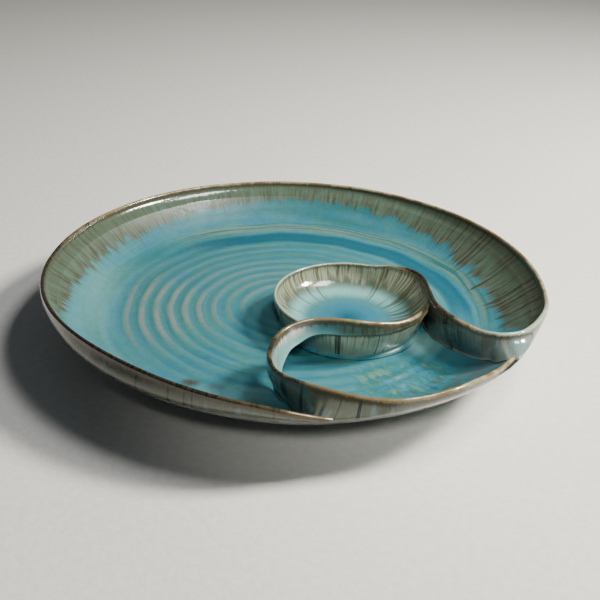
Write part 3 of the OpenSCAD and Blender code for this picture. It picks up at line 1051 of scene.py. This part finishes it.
def bowl_profile():
    """The bowl's outline from its foot up the outside, over the lip and down to its middle.

    Each point is (r, z, share of the rim's rise); the crest is the point on top of the lip.
    """
    shoulder = BOWL_Z - BOWL_LIP_H
    rise = np.linspace(0, 1, 16)
    side_z = BOWL_UNDER + (shoulder - BOWL_UNDER) * rise
    swell = np.sin(np.pi / 2 * np.clip((side_z - FLOOR_Z) / (BOWL_Z - FLOOR_Z), 0, 1))
    side_r = BOWL_BASE_R + (BOWL_R - BOWL_BASE_R) * swell
    side = np.stack([side_r, side_z, smoothstep(0.3, 1, rise)], -1)
    turn = np.radians(np.linspace(0, 180, 11))[1:]
    brim = np.stack([BOWL_R - BOWL_WALL / 2 + BOWL_WALL / 2 * np.cos(turn),
                     shoulder + BOWL_LIP_H * np.sin(turn), np.ones_like(turn)], -1)
    fall = np.radians(np.linspace(4, 90, 26))
    reach = BOWL_R - BOWL_WALL - BOWL_FLAT_R
    hollow_z = shoulder - (shoulder - BOWL_BOTTOM) * np.sin(fall)
    hollow = np.stack([BOWL_FLAT_R + reach * np.cos(fall), hollow_z,
                       smoothstep(BOWL_BOTTOM, shoulder, hollow_z)], -1)
    middle_r = np.linspace(BOWL_FLAT_R, 0, 14)[1:]
    middle = np.stack([middle_r, np.full_like(middle_r, BOWL_BOTTOM), np.zeros_like(middle_r)], -1)
    base = np.array([[0, BOWL_UNDER, 0], [20, BOWL_UNDER, 0]])
    return np.vstack([side, brim, hollow, middle, base]), len(side) + len(brim) // 2 - 1


def build_bowl():
    profile, crest = bowl_profile()
    gone = lengths(profile)
    ring_piece("dip_bowl", profile[::-1], BOWL_AT, dip_glaze, bowl_reach,
               (gone[crest] - gone)[::-1], bowl_tones)


def build_coil():
    """The clay smoothed into the corner between the bowl and the floor."""
    turn = np.radians(np.linspace(0, 90, 9))
    wide = 0.7 * (coil_high[0] - BOWL_AT[0] - BOWL_BASE_R)
    tall = 0.6 * (coil_high[2] - FLOOR_Z)
    fillet = np.stack([BOWL_BASE_R + wide - wide * np.sin(turn),
                       FLOOR_Z - 0.1 + tall - tall * np.cos(turn)], -1)
    base = np.array([[BOWL_BASE_R - 1.0, FLOOR_Z + tall], [BOWL_BASE_R - 1.0, FLOOR_Z - 0.8],
                     [BOWL_BASE_R + wide, FLOOR_Z - 0.8]])
    profile = np.vstack([fillet, base])
    below_all_fringes = np.full(len(profile), -60.0)
    ring_piece("bowl_seat_coil", profile, BOWL_AT, floor_glaze,
               down=below_all_fringes, tone=bowl_tones)


build_dish("platter_floor", 0)
build_dish("platter_cove", 1)
build_foot()
build_bowl()
build_coil()


# ---- studio
def pale_floor():
    ground = Nodes("studio_floor")
    grain = ground.noise(ground.place, 0.22, 3.0, 0.6)
    shade = ground.mix(ground.step(grain, 0.3, 0.7), (0.71, 0.70, 0.655), (0.77, 0.76, 0.715))
    ground.finish(shade, 0.6, grain, 0.25, 0.001)
    half = 4.0
    mesh = bpy.data.meshes.new("studio_floor")
    mesh.from_pydata([(-half, -half, 0), (half, -half, 0), (half, half, 0), (-half, half, 0)], [],
                     [(0, 1, 2, 3)])
    mesh.materials.append(ground.material)
    stage = bpy.data.objects.new("studio_floor", mesh)
    bpy.context.scene.collection.objects.link(stage)


def lamp(kind, name, place, aim, watts, colour, **settings):
    light = bpy.data.lights.new(name, kind)
    light.energy = watts
    light.color = colour
    for key, value in settings.items():
        setattr(light, key, value)
    holder = bpy.data.objects.new(name, light)
    holder.location = place
    holder.rotation_euler = (Vector(aim) - Vector(place)).to_track_quat("-Z", "Y").to_euler()
    bpy.context.scene.collection.objects.link(holder)
    return holder


def softbox(name, place, aim, wide, tall, watts, colour=(1, 1, 1)):
    return lamp("AREA", name, place, aim, watts, colour, shape="RECTANGLE", size=wide, size_y=tall)


def studio():
    world = bpy.data.worlds.new("studio")
    world.use_nodes = True
    sky = world.node_tree.nodes["Background"]
    sky.inputs["Color"].default_value = (0.80, 0.88, 1.0, 1)
    sky.inputs["Strength"].default_value = 0.08
    bpy.context.scene.world = world
    softbox("key", (0.96, 0.13, 0.9), (0, 0, 0), 0.24, 0.26, 40, (1.0, 0.95, 0.86))
    softbox("window", (0.42, 0.02, 0.9), (0, 0, 0), 0.32, 0.2, 6)
    fill = lamp("SPOT", "fill", (0.08, -0.64, 0.60), (0.075, -0.035, 0.03), 42, (1.0, 0.98, 0.94),
                spot_size=math.radians(14), spot_blend=0.7, shadow_soft_size=0.12)
    fill.visible_glossy = False


CAMERA_AIM = np.array([3.83, -42.96, 44.0])
CAMERA_AWAY = 544.66
CAMERA_ELEVATION = math.radians(28.0)
CAMERA_ROLL = math.radians(2.64)
LENS = 54.3


def make_camera():
    forward = Vector((0, math.cos(CAMERA_ELEVATION), -math.sin(CAMERA_ELEVATION)))
    right = Vector((1, 0, 0))
    up = right.cross(forward)
    tilted = right * math.cos(CAMERA_ROLL) + up * math.sin(CAMERA_ROLL)
    upright = up * math.cos(CAMERA_ROLL) - right * math.sin(CAMERA_ROLL)
    turn = Matrix((tilted, upright, -forward)).transposed().to_4x4()
    data = bpy.data.cameras.new("camera")
    data.lens = LENS
    data.clip_start = 0.01
    camera = bpy.data.objects.new("camera", data)
    place = Vector(CAMERA_AIM * MM) - forward * CAMERA_AWAY * MM
    camera.matrix_world = Matrix.Translation(place) @ turn
    bpy.context.scene.collection.objects.link(camera)
    bpy.context.scene.camera = camera


pale_floor()
studio()
make_camera()
